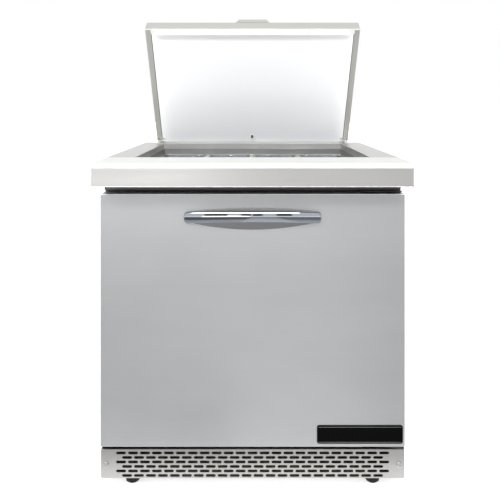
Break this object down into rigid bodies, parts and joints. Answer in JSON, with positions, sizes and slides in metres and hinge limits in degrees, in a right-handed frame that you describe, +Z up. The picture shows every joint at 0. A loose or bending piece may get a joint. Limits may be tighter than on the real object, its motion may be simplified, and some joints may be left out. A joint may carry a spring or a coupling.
{
  "type": "sandwich prep table",
  "caption": "Refrigerated sandwich prep table: steel cabinet on low feet with one hinged door, a cutting board, a sunken well of food pans and a tilting insulated lid.",
  "frame": {"origin": "centre of the bounding box's footprint, on the floor under the feet", "axes": "+Z up, -Y towards the user at the board and door, +X to the user's right"},
  "size_m": [0.813, 0.838, 1.2966],
  "materials": {
    "base_tray": "satin",
    "board": "matte",
    "board_pins": "fine horizontal brushing",
    "cabinet_shell": "fine horizontal brushing",
    "compressor": "satin",
    "compressor_mounts": "matte",
    "condenser": "satin",
    "condenser_fan": "satin",
    "condenser_fan_motor": "satin",
    "condenser_shroud": "satin",
    "control_box": "matte",
    "door_badge": "gloss",
    "door_bushes": "matte",
    "door_foam": "matte",
    "door_gasket": "matte",
    "door_handle": "polished",
    "door_hinges": "fine horizontal brushing",
    "door_liner": "fine horizontal brushing",
    "door_skin": "fine horizontal brushing",
    "drip_pan": "satin",
    "evap_coil": "satin",
    "evap_cover": "satin",
    "evap_fan": "matte",
    "evap_fan_motor": "matte",
    "face_frame": "matte",
    "foot_bl": "matte",
    "foot_br": "matte",
    "foot_fl": "matte",
    "foot_fr": "matte",
    "grille": "fine horizontal brushing",
    "grille_screws": "fine horizontal brushing",
    "header": "fine horizontal brushing",
    "insulation": "matte",
    "lid_foam": "matte",
    "lid_handle": "polished",
    "lid_hinges": "fine horizontal brushing",
    "lid_knuckles": "fine horizontal brushing",
    "lid_liner": "gloss",
    "lid_seal": "matte",
    "lid_shell": "fine horizontal brushing",
    "pan_b1": "fine horizontal brushing",
    "pan_b2": "fine horizontal brushing",
    "pan_b3": "fine horizontal brushing",
    "pan_b4": "fine horizontal brushing",
    "pan_f1": "fine horizontal brushing",
    "pan_f2": "fine horizontal brushing",
    "pan_f3": "fine horizontal brushing",
    "pan_f4": "fine horizontal brushing",
    "pan_frame": "fine horizontal brushing",
    "pilasters": "fine horizontal brushing",
    "power_inlet": "matte",
    "rear_cover": "fine horizontal brushing",
    "refrigerant_lines": "copper-coloured tube",
    "room_liner": "satin",
    "shelf": "satin",
    "shelf_clips": "fine horizontal brushing",
    "thermostat": "matte",
    "thermostat_knob": "gloss",
    "well_liner": "fine horizontal brushing",
    "worktop": "fine horizontal brushing"
  },
  "bodies": {
    "cabinet": {"base_tray": "base_tray", "board_pins": "board_pins", "cabinet_shell": "cabinet_shell", "compressor": "compressor", "compressor_mounts": "compressor_mounts", "condenser": "condenser", "condenser_fan_motor": "condenser_fan_motor", "condenser_shroud": "condenser_shroud", "control_box": "control_box", "door_hinges": "door_hinges", "drip_pan": "drip_pan", "evap_coil": "evap_coil", "evap_cover": "evap_cover", "evap_fan_motor": "evap_fan_motor", "face_frame": "face_frame", "foot_bl": "foot_bl", "foot_br": "foot_br", "foot_fl": "foot_fl", "foot_fr": "foot_fr", "grille": "grille", "grille_screws": "grille_screws", "header": "header", "insulation": "insulation", "lid_hinges": "lid_hinges", "pan_frame": "pan_frame", "pilasters": "pilasters", "power_inlet": "power_inlet", "rear_cover": "rear_cover", "refrigerant_lines": "refrigerant_lines", "room_liner": "room_liner", "shelf": "shelf", "shelf_clips": "shelf_clips", "thermostat": "thermostat", "well_liner": "well_liner", "worktop": "worktop"},
    "door": {"door_skin": "door_skin", "door_liner": "door_liner", "door_foam": "door_foam", "door_gasket": "door_gasket", "door_handle": "door_handle", "door_badge": "door_badge", "door_bushes": "door_bushes"},
    "lid": {"lid_shell": "lid_shell", "lid_liner": "lid_liner", "lid_foam": "lid_foam", "lid_seal": "lid_seal", "lid_handle": "lid_handle", "lid_knuckles": "lid_knuckles"},
    "board": {"board": "board"},
    "evap_fan": {"evap_fan": "evap_fan"},
    "condenser_fan": {"condenser_fan": "condenser_fan"},
    "thermostat_knob": {"thermostat_knob": "thermostat_knob"},
    "pan_f1": {"pan_f1": "pan_f1"},
    "pan_f2": {"pan_f2": "pan_f2"},
    "pan_f3": {"pan_f3": "pan_f3"},
    "pan_f4": {"pan_f4": "pan_f4"},
    "pan_b1": {"pan_b1": "pan_b1"},
    "pan_b2": {"pan_b2": "pan_b2"},
    "pan_b3": {"pan_b3": "pan_b3"},
    "pan_b4": {"pan_b4": "pan_b4"}
  },
  "joints": [
    {"name": "door_swing", "type": "hinge", "parent": "cabinet", "child": "door", "pos_m": [0.391, -0.297, 0.44], "axis": [0, 0, 1], "range_deg": [0, 110]},
    {"name": "lid_tilt", "type": "hinge", "parent": "cabinet", "child": "lid", "pos_m": [0, 0.371, 0.8756], "axis": [-1, 0, 0], "range_deg": [-54.2, 36]},
    {"name": "board_lift", "type": "slide", "parent": "cabinet", "child": "board", "axis": [0, 0, 1], "range_m": [0, 0.06]},
    {"name": "evap_fan_spin", "type": "hinge", "parent": "cabinet", "child": "evap_fan", "pos_m": [-0.15, 0.282, 0.585], "axis": [0, 1, 0], "continuous": true},
    {"name": "condenser_fan_spin", "type": "hinge", "parent": "cabinet", "child": "condenser_fan", "pos_m": [0.19, 0.297, 0.15], "axis": [0, 1, 0], "continuous": true},
    {"name": "thermostat_turn", "type": "hinge", "parent": "cabinet", "child": "thermostat_knob", "pos_m": [0.27, 0.2465, 0.67], "axis": [0, -1, 0], "range_deg": [0, 270]},
    {"name": "pan_f1_lift", "type": "slide", "parent": "cabinet", "child": "pan_f1", "axis": [0, 0, 1], "range_m": [0, 0.12]},
    {"name": "pan_f2_lift", "type": "slide", "parent": "cabinet", "child": "pan_f2", "axis": [0, 0, 1], "range_m": [0, 0.12]},
    {"name": "pan_f3_lift", "type": "slide", "parent": "cabinet", "child": "pan_f3", "axis": [0, 0, 1], "range_m": [0, 0.12]},
    {"name": "pan_f4_lift", "type": "slide", "parent": "cabinet", "child": "pan_f4", "axis": [0, 0, 1], "range_m": [0, 0.12]},
    {"name": "pan_b1_lift", "type": "slide", "parent": "cabinet", "child": "pan_b1", "axis": [0, 0, 1], "range_m": [0, 0.045]},
    {"name": "pan_b2_lift", "type": "slide", "parent": "cabinet", "child": "pan_b2", "axis": [0, 0, 1], "range_m": [0, 0.045]},
    {"name": "pan_b3_lift", "type": "slide", "parent": "cabinet", "child": "pan_b3", "axis": [0, 0, 1], "range_m": [0, 0.045]},
    {"name": "pan_b4_lift", "type": "slide", "parent": "cabinet", "child": "pan_b4", "axis": [0, 0, 1], "range_m": [0, 0.045]}
  ]
}
